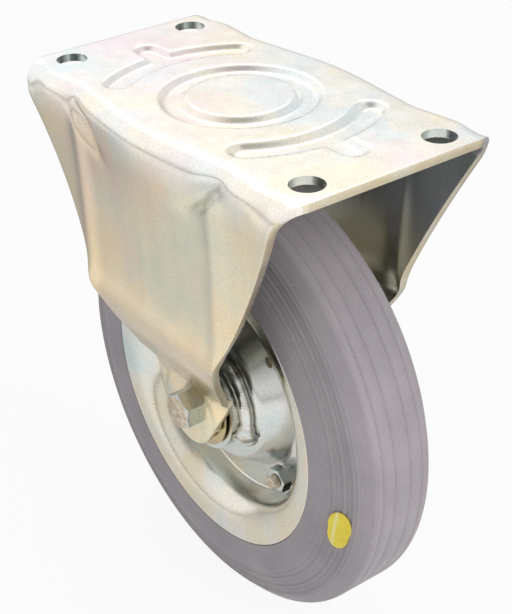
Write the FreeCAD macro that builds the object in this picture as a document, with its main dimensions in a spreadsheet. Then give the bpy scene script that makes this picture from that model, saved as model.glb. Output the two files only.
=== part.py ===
import FreeCAD, Part
import math
import os
import re
import Sketcher

# A fixed castor for bolting under a platform: a deep drawn steel bracket whose plate and two
# legs are one sheet, and a wheel with a bolted two-part steel rim, a solid rubber tyre and two
# sealed ball bearings on a bolted axle tube.
# Frame: origin at the middle of the plate's top face, +Z up, +X the rolling direction,
# +Y along the axle. The near side is -Y and the far side is +Y.

doc = FreeCAD.newDocument("FixedCastor")
sheet = doc.addObject("Spreadsheet::Sheet", "Dimensions")

DIMENSIONS = {
    # bracket, pressed from one sheet
    "sheet_thickness": 4.0,
    "plate_length": 218.0,
    "hole_spacing_x": 190.0,
    "hole_spacing_y": 74.0,
    "hole_diameter": 16.0,
    "axle_drop": 166.0,
    "bend_radius": 10.0,
    "plate_width": 130.0,
    "leg_spread": 57.5,
    "lug_clearance": 8.5,
    "lug_radius": 21.0,
    "seat_radius": 21.5,
    "seat_step": 0.8,
    "shoulder_drop": 108.0,
    "lug_top_drop": 156.0,
    "corner_drop": 16.0,
    "corner_inset": 10.1,
    "tip_place": 35.5,
    "tip_drop": 146.0,
    "crown_swell": 7.5,
    "crown_width": 48.0,
    "crown_depth": 36.0,
    "valley_place": 62.0,
    "valley_depth": 4.6,
    "valley_width": 9.0,
    "valley_fade_drop": 15.0,
    "valley_fade": 18.0,
    "ridge_place": 56.5,
    "ridge_height": 1.5,
    "ridge_width": 6.0,
    "ridge_rise": 16.0,
    "wing_corner": 4.0,
    "wing_turn_drop": 35.6,
    "shoulder_swell": 1.2,
    "shoulder_swell_width": 9.0,
    "facet_place": 16.0,
    "facet_corner": 2.0,
    "facet_rise": 7.0,
    "face_lift": 0.06,
    "skin_margin": 3.0,
    # pressed ring and arcs in the plate
    "press_depth": 2.8,
    "press_slope": 3.0,
    "ring_inner_radius": 26.0,
    "ring_outer_radius": 39.5,
    "arc_inner_radius": 55.0,
    "arc_outer_radius": 71.0,
    "arc_half_angle": 35.0,
    "nub_reach": 88.0,
    "nub_half_width": 7.5,
    # axle
    "bolt_diameter": 12.0,
    "bolt_bore": 12.4,
    "head_flats": 19.0,
    "head_height": 7.5,
    "nut_height": 10.0,
    "lock_ring_height": 2.6,
    "lock_ring_radius": 8.2,
    "washer_radius": 12.0,
    "washer_thickness": 2.5,
    "thread_end": 4.0,
    "edge_chamfer": 1.2,
    # bearings
    "sleeve_radius": 10.0,
    "bearing_radius": 23.5,
    "bearing_width": 14.0,
    "bearing_inset": 0.5,
    "inner_race_radius": 14.2,
    "outer_race_radius": 19.3,
    "ball_radius": 3.97,
    "ball_pitch_radius": 16.75,
    "ball_count": 8.0,
    "ball_play": 0.1,
    "cage_thickness": 1.5,
    "cage_width": 10.2,
    "pocket_play": 0.3,
    "seal_thickness": 1.0,
    "seal_gap": 0.4,
    "spacer_radius": 13.4,
    "cover_radius": 24.5,
    "cover_thickness": 1.2,
    "cover_gap": 1.0,
    "fit": 0.05,
    # hub and rim
    "hub_half_length": 30.0,
    "hub_radius": 27.5,
    "hub_bore_radius": 20.5,
    "rim_thickness": 2.5,
    "hub_overhang": 10.0,
    "rim_collar_radius": 37.0,
    "rim_web_inner": 48.0,
    "rim_web_outer": 63.5,
    "rim_well_radius": 67.5,
    "rim_half_width": 27.0,
    "rim_radius": 86.0,
    "rim_bend": 5.0,
    "rim_crease": 2.5,
    "rim_corner": 1.5,
    "rim_roll": 20.0,
    "weld_leg": 6.5,
    "weld_throat": 0.8,
    "weld_start_angle": -24.0,
    "weld_sweep_angle": 154.0,
    # rim fasteners
    "rim_bolt_count": 4.0,
    "rim_bolt_circle": 55.8,
    "rim_bolt_angle": 45.0,
    "rim_bolt_diameter": 8.0,
    "rim_head_height": 5.3,
    "rim_nut_height": 6.5,
    "rim_flats": 13.0,
    "rim_washer_radius": 6.3,
    "rim_washer_thickness": 1.6,
    "rim_thread_end": 4.0,
    # tyre
    "tyre_radius": 125.0,
    "tyre_half_width": 28.5,
    "tread_half_width": 16.5,
    "shoulder_half_width": 22.5,
    "tread_edge_radius": 5.0,
    "groove_place": 4.2,
    "groove_width": 1.2,
    "groove_depth": 1.6,
}


def fill_sheet():
    for row, (alias, value) in enumerate(DIMENSIONS.items(), start=1):
        sheet.set("A%d" % row, alias)
        sheet.set("B%d" % row, "%g" % value)
        sheet.setAlias("B%d" % row, alias)
    doc.recompute()


fill_sheet()
NAME = re.compile(r"[a-z][a-z_]+")


def bound(text):
    """The sheet expression for a sum such as 'hub_radius + 2*fit'."""
    return NAME.sub(r"Dimensions.\g<0>", text)


def size(text):
    """The number that the same sum has now."""
    total = 0.0
    sign = 1
    for word in text.split():
        if word in "+-":
            sign = 1 if word == "+" else -1
            continue
        value = 1.0
        for part in word.split("*"):
            above, _, below = part.partition("/")
            value *= sheet.get(above) if NAME.match(above) else float(above)
            value /= float(below or 1)
        total += sign * value
    return total


def labelled(feature, label):
    feature.Label = label
    return feature


def on_axle(feature, side=1, turn=0.0):
    """Stands a feature's own Z along the axle, pointing away from the middle on that side."""
    lay = FreeCAD.Rotation(FreeCAD.Vector(1, 0, 0), -90.0 * side)
    spin = FreeCAD.Rotation(FreeCAD.Vector(0, 1, 0), -turn)
    feature.Placement = FreeCAD.Placement(FreeCAD.Vector(0, 0, -size("axle_drop")), spin.multiply(lay))
    feature.setExpression("Placement.Base.z", "-Dimensions.axle_drop")
    return feature


def origin_plane(body, role):
    return [plane for plane in body.Origin.OriginFeatures if plane.Role == role][0]


def bind(sketch, constraint, text):
    index = sketch.addConstraint(constraint)
    sketch.setExpression("Constraints[%d]" % index, bound(text))


def arc_edge(start, end, radius, bulge):
    """A circular arc from start to end; bulge is +1 where it bends to the left of its chord."""
    chord = end.sub(start)
    reach = math.sqrt(max(radius ** 2 - (chord.Length / 2) ** 2, 0.0))
    normal = FreeCAD.Vector(-chord.y, chord.x, 0).normalize()
    centre = start.add(chord.multiply(0.5)).sub(FreeCAD.Vector(normal).multiply(bulge * reach))
    crown = centre.add(FreeCAD.Vector(normal).multiply(bulge * radius))
    return Part.Arc(start, crown, end)


def closed_sketch(body, name, corners):
    """A closed outline in the body's XZ plane. A corner is (radius, height) as sheet sums, and may
    add a radius and a side where the edge that leaves it is an arc."""
    sketch = body.newObject("Sketcher::SketchObject", name)
    sketch.AttachmentSupport = [(origin_plane(body, "XZ_Plane"), "")]
    sketch.MapMode = "FlatFace"
    points = [FreeCAD.Vector(size(corner[0]), size(corner[1]), 0) for corner in corners]
    arcs = {}
    for index, corner in enumerate(corners):
        start = points[index]
        end = points[(index + 1) % len(points)]
        if len(corner) == 4:
            arc = arc_edge(start, end, size(corner[2]), corner[3])
            sketch.addGeometry(arc, False)
            starts = (arc.StartPoint if hasattr(arc, "StartPoint") else arc.value(arc.FirstParameter))
            arcs[index] = (corner[2], starts.distanceToPoint(start) < 1e-6)
        else:
            sketch.addGeometry(Part.LineSegment(start, end), False)
    for index, corner in enumerate(corners):
        follows = (index + 1) % len(corners)
        forward = arcs.get(index, (None, True))[1]
        next_forward = arcs.get(follows, (None, True))[1]
        sketch.addConstraint(Sketcher.Constraint(
            "Coincident", index, 2 if forward else 1, follows, 1 if next_forward else 2))
    for index, corner in enumerate(corners):
        mark = 1 if arcs.get(index, (None, True))[1] else 2
        for kind, text in (("DistanceX", corner[0]), ("DistanceY", corner[1])):
            value = size(text)
            if abs(value) < 1e-9:
                axis = -2 if kind == "DistanceX" else -1
                sketch.addConstraint(Sketcher.Constraint("PointOnObject", index, mark, axis))
            else:
                bind(sketch, Sketcher.Constraint(kind, -1, 1, index, mark, value), text)
        if index in arcs:
            text = arcs[index][0]
            bind(sketch, Sketcher.Constraint("Radius", index, size(text)), text)
    doc.recompute()
    return sketch


def circle_edges(shape, radius, height):
    """Names of the full circles about the body's own Z with this radius and height."""
    found = []
    for number, edge in enumerate(shape.Edges, start=1):
        curve = edge.Curve
        if not isinstance(curve, Part.Circle) or abs(curve.Radius - radius) > 1e-4:
            continue
        if abs(curve.Center.z - height) < 1e-4 and math.hypot(curve.Center.x, curve.Center.y) < 1e-4:
            found.append("Edge%d" % number)
    return found


def turned(label, corners, side=1, angle=360.0, turn=0.0, rounds=()):
    """A turned piece: its outline, revolved about the axle, with corners rounded where asked."""
    body = labelled(doc.addObject("PartDesign::Body", label), label)
    sketch = closed_sketch(body, label + "_outline", corners)
    solid = body.newObject("PartDesign::Revolution", label + "_turned")
    solid.Profile = sketch
    solid.ReferenceAxis = (sketch, ["V_Axis"])
    solid.Angle = angle
    doc.recompute()
    for number, (radius_text, height_text, round_text) in enumerate(rounds):
        base = body.Tip
        edges = circle_edges(base.Shape, size(radius_text), size(height_text))
        rounded = body.newObject("PartDesign::Fillet", "%s_round_%d" % (label, number))
        rounded.Base = (base, edges)
        rounded.Radius = size(round_text)
        rounded.setExpression("Radius", bound(round_text))
        doc.recompute()
    return on_axle(body, side, turn)


def ring(label, inner, outer, low, high, side=1):
    return turned(label, [(inner, low), (outer, low), (outer, high), (inner, high)], side)


def primitive(kind, name, sizes, place=(), turn=None):
    """A Part primitive whose sizes and place are bound to the sheet."""
    feature = doc.addObject("Part::" + kind, name)
    for prop, text in sizes.items():
        if isinstance(text, str):
            feature.setExpression(prop, text if "Dimensions." in text else bound(text))
        else:
            setattr(feature, prop, text)
    if turn is not None:
        feature.Placement = FreeCAD.Placement(FreeCAD.Vector(), turn)
    for axis, text in zip("xyz", place):
        if text != "0":
            feature.setExpression("Placement.Base." + axis, text if "Dimensions." in text else bound(text))
    return feature


def combined(kind, name, parts):
    feature = doc.addObject(kind, name)
    if kind == "Part::MultiFuse" or kind == "Part::MultiCommon":
        feature.Shapes = parts
    elif kind == "Part::Compound":
        feature.Links = parts
    else:
        feature.Base, feature.Tool = parts
    doc.recompute()
    return feature


# Bracket: the leg's outer face is a height over the plane of the wheel, written as a few folds
LUG_SPREAD = "hub_half_length + lug_clearance"
# How much of the valley is already there at the plate, how far it leans in for each millimetre of
# drop, the wing's turn at the plate and at its most, and the facet's turn beside the lug
VALLEY_START = 0.55
VALLEY_LEAN = 1.1
WING_FLARE = 0.16
WING_TURN = -0.2
FACET_TURN = 0.22
# The shoulder's folds have died out by this share of the slope to the lug
LEVEL_SHARE = 0.6
# Stations along X as shares of the ridge's place, and beyond it as shares of what is left
COLUMN_SHARES = (0.0, 0.15, 0.25, 0.33, 0.44, 0.58, 0.71, 0.81, 0.9, 0.98, 1.06, 1.16)
OUTER_SHARES = (0.32, 0.55, 0.8, 1.0)
# Stations down the leg: up to the first share of the axle's drop, steps of the second share
STEP_SHARES = ((0.16, 0.03), (0.27, 0.045), (0.6, 0.066), (0.93, 0.036), (9.0, 0.06))
# Share of the sheet's thickness that the pressed walls keep
WALL_SHARE = 0.9
FLAT_STEPS = (-20.0, -7.0, 0.0, 0.25, 0.5, 0.75, 1.0)


def bell(distance, width):
    return math.exp(-(distance / width) ** 2)


def eased(value):
    value = min(max(value, 0.0), 1.0)
    return value * value * (3.0 - 2.0 * value)


def past(distance, corner):
    """Rises from nothing to the distance itself, over a soft corner at nought."""
    return 0.5 * (distance + math.hypot(distance, corner))


def leg_reach(x, drop):
    """Distance of a leg's outer face from the wheel's middle plane, at x and at a drop below the
    plate's top: a panel swollen at the crown, a valley that runs in from the bend, a ridge down
    each side, wings beyond the ridges that flare out at the plate and turn in lower down, a
    shoulder that slopes in to the lug, and a facet each side of the lug."""
    along = abs(x)
    crown = size("crown_swell") * bell(along, size("crown_width")) * bell(drop, size("crown_depth"))
    bend = size("bend_radius")
    slide = size("valley_place") - VALLEY_LEAN * max(drop - 0.4 * bend, 0.0)
    depth = size("valley_depth") * (VALLEY_START + (1.0 - VALLEY_START) * eased((drop - 0.3 * bend) / bend))
    fade = 1.0 - eased((drop - size("valley_fade_drop")) / size("valley_fade"))
    valley = depth * bell(along - slide, size("valley_width")) * fade
    rise = eased((drop - 0.4 * bend) / size("ridge_rise"))
    ridge = size("ridge_height") * bell(along - size("ridge_place"), size("ridge_width")) * rise
    turn = max(WING_FLARE * (1.0 - drop / size("wing_turn_drop")), WING_TURN)
    wing = turn * past(along - size("ridge_place"), size("wing_corner"))
    span = size("lug_top_drop - shoulder_drop")
    lug = size(LUG_SPREAD + " + seat_step")
    inward = (size("leg_spread") - lug) * eased((drop - size("shoulder_drop")) / span)
    width = size("shoulder_swell_width")
    hem = size("shoulder_swell") * bell(drop - size("shoulder_drop") + 0.5 * width, width)
    level = 1.0 - eased((drop - size("shoulder_drop")) / (LEVEL_SHARE * span))
    below = eased((drop - size("tip_drop") + 0.5 * size("facet_rise")) / size("facet_rise"))
    facet = FACET_TURN * past(along - size("facet_place"), size("facet_corner")) * below
    return size("leg_spread") - inward + (crown - valley + ridge + wing + hem) * level - facet


def leg_point(x, step):
    """A point of a leg's outer face. Steps below 0 are millimetres back over the flat, 0 to 1 go
    round the bend, and beyond that a step is a millimetre of drop."""
    bend = size("bend_radius")
    if step <= 0.0:
        return FreeCAD.Vector(x, leg_reach(x, 0.0) - bend + step, 0.0)
    if step < 1.0:
        angle = math.radians(90.0 * step)
        drop = bend * (1.0 - math.cos(angle))
        return FreeCAD.Vector(x, leg_reach(x, drop) - bend * (1.0 - math.sin(angle)), -drop)
    drop = bend + step - 1.0
    return FreeCAD.Vector(x, leg_reach(x, drop), -drop)


def leg_normal(x, step):
    if step <= 0.0:
        return FreeCAD.Vector(0, 0, 1)
    small = 0.01
    across = leg_point(x + small, step).sub(leg_point(x - small, step))
    down = leg_point(x, step + small).sub(leg_point(x, step - small))
    return across.cross(down).normalize()


def leg_columns(margin):
    """Stations along X: close together at the folds, wider elsewhere."""
    half = size("plate_length/2") + margin
    ridge = size("ridge_place")
    right = [ridge * share for share in COLUMN_SHARES]
    right += [right[-1] + (half - right[-1]) * share for share in OUTER_SHARES]
    return [-x for x in reversed(right[1:])] + right


def leg_steps(margin):
    """Stations down a leg, from the middle of the plate: close at the bend, wider on the leg."""
    drop_all = size("axle_drop")
    bottom = size("axle_drop + lug_radius - bend_radius") + margin
    steps = list(FLAT_STEPS)
    drop = 1.0
    while True:
        share = [step for limit, step in STEP_SHARES if drop + size("bend_radius") < limit * drop_all][0]
        drop += share * drop_all
        if drop + share * drop_all > bottom:
            return steps + [bottom + 1.0]
        steps.append(drop)


def skin(inset, margin):
    """The space under the bracket's outer face, or under its inner face where there is an inset,
    as one smooth surface from lug to lug, closed by flat ends and a flat bottom."""
    steps = leg_steps(margin)
    columns = leg_columns(margin)
    grid = []
    for x in columns:
        far = []
        for step in steps:
            point = leg_point(x, step).sub(leg_normal(x, step).multiply(inset))
            if x in (columns[0], columns[-1]):
                point.x = x
            if step == steps[-1]:
                point.z = leg_point(x, step).z
            far.append(point)
        near = [FreeCAD.Vector(point.x, -point.y, point.z) for point in reversed(far)]
        grid.append(near + [FreeCAD.Vector(x, 0, far[0].z)] + far)
    surface = Part.BSplineSurface()
    degree = 3
    knots = []
    for count in (len(grid), len(grid[0])):
        inside = count - degree - 1
        knots.append(([degree + 1] + [1] * inside + [degree + 1], [float(k) for k in range(inside + 2)]))
    surface.buildFromPolesMultsKnots(
        grid, knots[0][0], knots[1][0], knots[0][1], knots[1][1], False, False, degree, degree)
    roof = surface.toShape()
    ends = sorted(roof.Edges, key=lambda edge: edge.CenterOfMass.x)
    feet = sorted(ends[1:3], key=lambda edge: edge.CenterOfMass.y)
    closing = []
    for end in (ends[0], ends[3]):
        corners = [vertex.Point for vertex in end.Vertexes]
        closing.append(Part.makeLine(corners[0], corners[1]))
    faces = [roof]
    for end, line in zip((ends[0], ends[3]), closing):
        faces.append(Part.Face(Part.Wire(Part.__sortEdges__([end, line]))))
    faces.append(Part.Face(Part.Wire(Part.__sortEdges__([feet[0], closing[0], feet[1], closing[1]]))))
    shell = Part.makeShell(faces)
    shell.sewShape()
    solid = Part.makeSolid(shell)
    if solid.Volume < 0:
        solid.reverse()
    return solid


def side_outline():
    """The side view of the bracket: from the plate's end round its corner, down a straight edge to
    the tip of the wing, and in to the round end of the lug."""
    half = size("plate_length/2")
    inset = size("corner_inset")
    drop = size("corner_drop")
    side = FreeCAD.Vector(half, 0, -size("1.3*sheet_thickness"))
    middle = FreeCAD.Vector(half - 0.38 * inset, 0, 0.5 * (side.z - drop))
    shoulder = FreeCAD.Vector(half - inset, 0, -drop)
    tip = FreeCAD.Vector(size("tip_place"), 0, -size("tip_drop"))
    centre = FreeCAD.Vector(0, 0, -size("axle_drop"))
    radius = size("lug_radius")
    reach = tip.sub(centre)
    lean = math.atan2(reach.z, reach.x) - math.acos(radius / reach.Length)
    touch = centre.add(FreeCAD.Vector(math.cos(lean), 0, math.sin(lean)).multiply(radius))
    bottom = centre.sub(FreeCAD.Vector(0, 0, radius))
    top = FreeCAD.Vector(half, 0, 0)

    def mirrored(point):
        return FreeCAD.Vector(-point.x, 0, point.z)

    edges = []
    for turn in (lambda point: point, mirrored):
        edges.append(Part.LineSegment(turn(top), turn(side)).toShape())
        edges.append(Part.Arc(turn(side), turn(middle), turn(shoulder)).toShape())
        edges.append(Part.LineSegment(turn(shoulder), turn(tip)).toShape())
        edges.append(Part.LineSegment(turn(tip), turn(touch)).toShape())
    edges.append(Part.Arc(touch, bottom, mirrored(touch)).toShape())
    edges.append(Part.LineSegment(mirrored(top), top).toShape())
    face = Part.Face(Part.Wire(Part.__sortEdges__(edges)))
    reach = size("plate_width")
    face.translate(FreeCAD.Vector(0, -reach, 0))
    return face.extrude(FreeCAD.Vector(0, 2.0 * reach, 0))


def pressed(widen, lift):
    """What the press pushes down: a ring round the middle, an arc beyond it at each end of the
    plate, and a short nub that points outwards from each arc."""
    slope = size("press_slope")
    depth = size("press_depth")
    above = 1.0 if lift == 0.0 else 0.5
    grow = above * slope / depth

    def revolve(inner, outer, angle):
        low, high = inner - widen, outer + widen
        corners = [(low - grow, lift + above), (high + grow, lift + above),
                   (high - slope, lift - depth), (low + slope, lift - depth)]
        points = [FreeCAD.Vector(x, 0, z) for x, z in corners]
        face = Part.Face(Part.makePolygon(points + points[:1]))
        face.rotate(FreeCAD.Vector(), FreeCAD.Vector(0, 0, 1), -angle / 2.0)
        return face.revolve(FreeCAD.Vector(), FreeCAD.Vector(0, 0, 1), angle)

    def dimple(radius, place):
        return Part.makeCone(radius + widen - slope, radius + widen + grow, depth + above,
                             FreeCAD.Vector(place[0], place[1], lift - depth))

    def trough(half_width, start, end):
        wide, narrow = half_width + widen + grow, half_width + widen - slope
        corners = [(-wide, lift + above), (wide, lift + above),
                   (narrow, lift - depth), (-narrow, lift - depth)]
        points = [FreeCAD.Vector(start, y, z) for y, z in corners]
        face = Part.Face(Part.makePolygon(points + points[:1]))
        return face.extrude(FreeCAD.Vector(end - start, 0, 0))

    circle = revolve(size("ring_inner_radius"), size("ring_outer_radius"), 360.0)
    inner, outer = size("arc_inner_radius"), size("arc_outer_radius")
    middle = (inner + outer) / 2.0
    angle = math.radians(size("arc_half_angle"))
    nub = size("nub_half_width")
    pieces = [revolve(inner, outer, 2.0 * size("arc_half_angle"))]
    for side in (-1, 1):
        place = (middle * math.cos(angle), side * middle * math.sin(angle))
        pieces.append(dimple((outer - inner) / 2.0, place))
    pieces.append(trough(nub, middle, size("nub_reach") - nub))
    pieces.append(dimple(nub, (size("nub_reach") - nub, 0.0)))
    arc = pieces[0].multiFuse(pieces[1:]).removeSplitter()
    back = arc.mirror(FreeCAD.Vector(), FreeCAD.Vector(1, 0, 0))
    return [circle, arc, back]


def seated(blank, side, outline):
    """Sets the round bolt seat back into a lug, by its step."""
    centre = FreeCAD.Vector(0, side * size(LUG_SPREAD), -size("axle_drop"))
    outward = FreeCAD.Vector(0, side, 0)
    thickness = size("sheet_thickness")
    flat = Part.makeCylinder(size("facet_place"), thickness, centre, -outward).common(outline)
    front = Part.makeCylinder(size("seat_radius"), size("leg_spread"), centre, outward)
    return blank.fuse(flat).cut(front)


def pressed_sheet():
    """The bracket as it leaves the press: the sheet between an outer and an inner skin, inside its
    side view. The outer skin stands a hair proud, so that the plate's top is a true plane."""
    thickness = size("sheet_thickness")
    margin = size("skin_margin")
    outer = skin(0.0, margin)
    outer.translate(FreeCAD.Vector(0, 0, size("face_lift")))
    outline = side_outline()
    blank = outline.common(outer).cut(skin(thickness, 2.0 * margin))
    slant = math.hypot(size("press_slope"), size("press_depth"))
    widen = WALL_SHARE * thickness * (slant - size("press_depth")) / size("press_slope")
    blank = blank.multiFuse(pressed(widen, -thickness))
    for hollow in pressed(0.0, 0.0):
        blank = blank.cut(hollow)
    return seated(seated(blank, -1, outline), 1, outline)


def fork_bracket():
    blank = doc.addObject("Part::Feature", "pressed_sheet")
    blank.Shape = pressed_sheet()
    turn_y = FreeCAD.Rotation(FreeCAD.Vector(1, 0, 0), -90)
    tools = []
    for along in (-1, 1):
        for across in (-1, 1):
            tools.append(primitive(
                "Cylinder", "plate_hole", {"Radius": "hole_diameter/2", "Height": "10*sheet_thickness"},
                ("%d*Dimensions.hole_spacing_x/2" % along, "%d*Dimensions.hole_spacing_y/2" % across,
                 "-5*Dimensions.sheet_thickness")))
    tools.append(primitive(
        "Cylinder", "axle_bore", {"Radius": "bolt_bore/2", "Height": "4*leg_spread"},
        ("0", "-2*Dimensions.leg_spread", "-Dimensions.axle_drop"), turn_y))
    cutters = combined("Part::Compound", "bracket_cutters", tools)
    return labelled(combined("Part::Cut", "fork_bracket", (blank, cutters)), "fork_bracket")


# Axle: a through bolt in a tube that is clamped between the legs


def hexagon(name, flats, height, low, place=("0", "0"), turn=0.0):
    """A hexagonal prism; turn brings the middle of one flat round from +X."""
    return primitive("Prism", name, {
        "Polygon": 6, "Circumradius": "%s/sqrt(3)" % bound(flats), "Height": height},
        (place[0], place[1], low), FreeCAD.Rotation(FreeCAD.Vector(0, 0, 1), turn - 30.0))


def chamfered(name, prism, flats, low, height, ends):
    """Turns down the corners of a hexagon at its free ends, as on a bolt head or a nut."""
    cutters = [prism]
    for number, up in enumerate(ends):
        reach = "%s/sqrt(3)" % bound(flats)
        slack = "%s*3" % bound(height)
        wide = "%s+%s*1.7" % (reach, slack)
        base = "%s-%s" % (bound(low), slack) if up > 0 else bound(low)
        span = "%s+%s" % (bound(height), slack)
        small = "%s/2" % bound(flats)
        big = "%s+(%s)*1.9" % (small, span)
        sizes = {"Height": span, "Radius1": big if up > 0 else small, "Radius2": small if up > 0 else big}
        cutters.append(primitive("Cone", "%s_cone_%d" % (name, number), sizes, ("0", "0", base)))
    return combined("Part::MultiCommon", name, cutters)


def axle():
    head = hexagon("bolt_head", "head_flats", "head_height", LUG_SPREAD)
    head = chamfered("bolt_head_turned", head, "head_flats", LUG_SPREAD, "head_height", (1,))
    length = "2*hub_half_length + 2*lug_clearance + washer_thickness + nut_height + thread_end"
    low = bound("-1*hub_half_length - lug_clearance - washer_thickness - nut_height - thread_end")
    shank = primitive("Cylinder", "bolt_shank", {"Radius": "bolt_diameter/2", "Height": length + " - edge_chamfer"},
                      ("0", "0", low + "+Dimensions.edge_chamfer"))
    tip = primitive("Cone", "bolt_tip", {
        "Radius1": "bolt_diameter/2 - edge_chamfer", "Radius2": "bolt_diameter/2", "Height": "edge_chamfer"},
        ("0", "0", low))
    on_axle(labelled(combined("Part::MultiFuse", "axle_bolt", [head, shank, tip]), "axle_bolt"), -1)

    start = LUG_SPREAD + " + washer_thickness"
    ring("axle_washer", "bolt_bore/2", "washer_radius", LUG_SPREAD, start)
    prism = hexagon("nut_prism", "head_flats", "nut_height - lock_ring_height", start)
    body = chamfered("nut_turned", prism, "head_flats", start, "nut_height - lock_ring_height", (-1,))
    crown = primitive("Cylinder", "nut_crown", {"Radius": "lock_ring_radius", "Height": "lock_ring_height"},
                      ("0", "0", start + " + nut_height - lock_ring_height"))
    nut = combined("Part::MultiFuse", "nut_body", [body, crown])
    hole = primitive("Cylinder", "nut_hole", {"Radius": "bolt_diameter/2 + fit", "Height": "2*nut_height"},
                     ("0", "0", start + " - fit"))
    pocket = primitive("Cylinder", "nut_pocket", {
        "Radius": "lock_ring_radius - 0.8*edge_chamfer", "Height": "lock_ring_height"},
        ("0", "0", start + " + nut_height - lock_ring_height + 0.5*edge_chamfer"))
    bored = combined("Part::Cut", "nut_bored", (nut, hole))
    on_axle(labelled(combined("Part::Cut", "axle_nut", (bored, pocket)), "axle_nut"), 1)
    low = start + " + nut_height - lock_ring_height + 0.5*edge_chamfer + fit"
    ring("nut_lock_ring", "bolt_diameter/2 + fit", "lock_ring_radius - 0.8*edge_chamfer - fit",
         low, start + " + nut_height")

    ring("axle_sleeve", "bolt_bore/2", "sleeve_radius",
         "-1*hub_half_length - lug_clearance + sheet_thickness + fit", LUG_SPREAD + " - sheet_thickness - fit")


# Bearings: rings with a round track, balls in a cage, and a seal on each face


def bearing(side, word):
    far_edge = "hub_half_length - bearing_inset"
    middle = "hub_half_length - bearing_inset - bearing_width/2"
    near_edge = "hub_half_length - bearing_inset - bearing_width"

    def raced(label, inner, outer):
        blank = ring(label + "_blank", inner, outer, near_edge, far_edge, side)
        track = primitive("Torus", label + "_track", {
            "Radius1": "ball_pitch_radius", "Radius2": "ball_radius + ball_play"})
        track.Placement = FreeCAD.Placement(FreeCAD.Vector(), FreeCAD.Rotation(FreeCAD.Vector(1, 0, 0), 90))
        track.setExpression("Placement.Base.y", "%d*(%s)" % (side, bound(middle)))
        track.setExpression("Placement.Base.z", "-Dimensions.axle_drop")
        return labelled(combined("Part::Cut", label, (blank, track)), label)

    raced("inner_ring_" + word, "sleeve_radius + fit", "inner_race_radius")
    raced("outer_ring_" + word, "outer_race_radius", "bearing_radius - fit")

    count = int(size("ball_count"))
    balls = []
    pockets = []
    for number in range(count):
        angle = 2.0 * math.pi * (number + 0.5) / count
        place = ("Dimensions.ball_pitch_radius*%.12g" % math.cos(angle), "%d*(%s)" % (side, bound(middle)),
                 "Dimensions.ball_pitch_radius*%.12g-Dimensions.axle_drop" % math.sin(angle))
        balls.append(primitive("Sphere", "ball_%s_%d" % (word, number), {"Radius": "ball_radius"}, place))
        pockets.append(primitive("Sphere", "pocket_%s_%d" % (word, number),
                                 {"Radius": "ball_radius + pocket_play"}, place))
    labelled(combined("Part::Compound", "balls_" + word, balls), "balls_" + word)
    strip = ring("cage_blank_" + word, "ball_pitch_radius - cage_thickness/2",
                 "ball_pitch_radius + cage_thickness/2", middle + " - cage_width/2",
                 middle + " + cage_width/2", side)
    holes = combined("Part::Compound", "pockets_" + word, pockets)
    labelled(combined("Part::Cut", "ball_cage_" + word, (strip, holes)), "ball_cage_" + word)

    seals = []
    for edge, name in ((near_edge + " + fit", "inward"), (far_edge + " - seal_thickness - fit", "outward")):
        seals.append(ring("seal_%s_%s" % (word, name), "inner_race_radius + seal_gap", "outer_race_radius - fit",
                          edge, edge + " + seal_thickness", side))
    labelled(combined("Part::Compound", "seals_" + word, seals), "seals_" + word)

    cover_low = "hub_half_length + cover_gap"
    ring("spacer_ring_" + word, "sleeve_radius + fit", "spacer_radius", far_edge + " + fit",
         cover_low + " - fit", side)
    ring("dust_cover_" + word, "sleeve_radius + fit", "cover_radius", cover_low,
         cover_low + " + cover_thickness", side)
    ring("end_collar_" + word, "sleeve_radius + fit", "spacer_radius", cover_low + " + cover_thickness + fit",
         LUG_SPREAD + " - sheet_thickness - fit", side)


# Wheel: a hub tube, two pressed rim halves bolted back to back, and the tyre between them


def hub():
    far = "hub_half_length"
    seat = "hub_half_length - bearing_inset - bearing_width - fit"
    turned("hub_tube", [
        ("hub_bore_radius", "-1*" + seat.replace(" - ", " + ")), ("bearing_radius", "-1*" + seat.replace(" - ", " + ")),
        ("bearing_radius", "-1*hub_half_length"), ("hub_radius", "-1*hub_half_length"), ("hub_radius", far),
        ("bearing_radius", far), ("bearing_radius", seat), ("hub_bore_radius", seat)])
    half = "hub_half_length - bearing_inset - bearing_width - fit"
    ring("distance_tube", "sleeve_radius + fit", "spacer_radius - fit", "-1*" + half.replace(" - ", " + "), half)
    collar = "hub_half_length - hub_overhang"
    turned("hub_weld", [
        ("hub_radius + fit", collar + " + fit"),
        ("hub_radius + weld_leg", collar + " + fit"),
        ("hub_radius + weld_leg - weld_throat", collar + " + 2*weld_throat"),
        ("hub_radius + 2*weld_throat", collar + " + weld_leg - weld_throat"),
        ("hub_radius + fit", collar + " + weld_leg")],
        side=-1, angle=size("weld_sweep_angle"), turn=size("weld_start_angle"))


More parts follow.
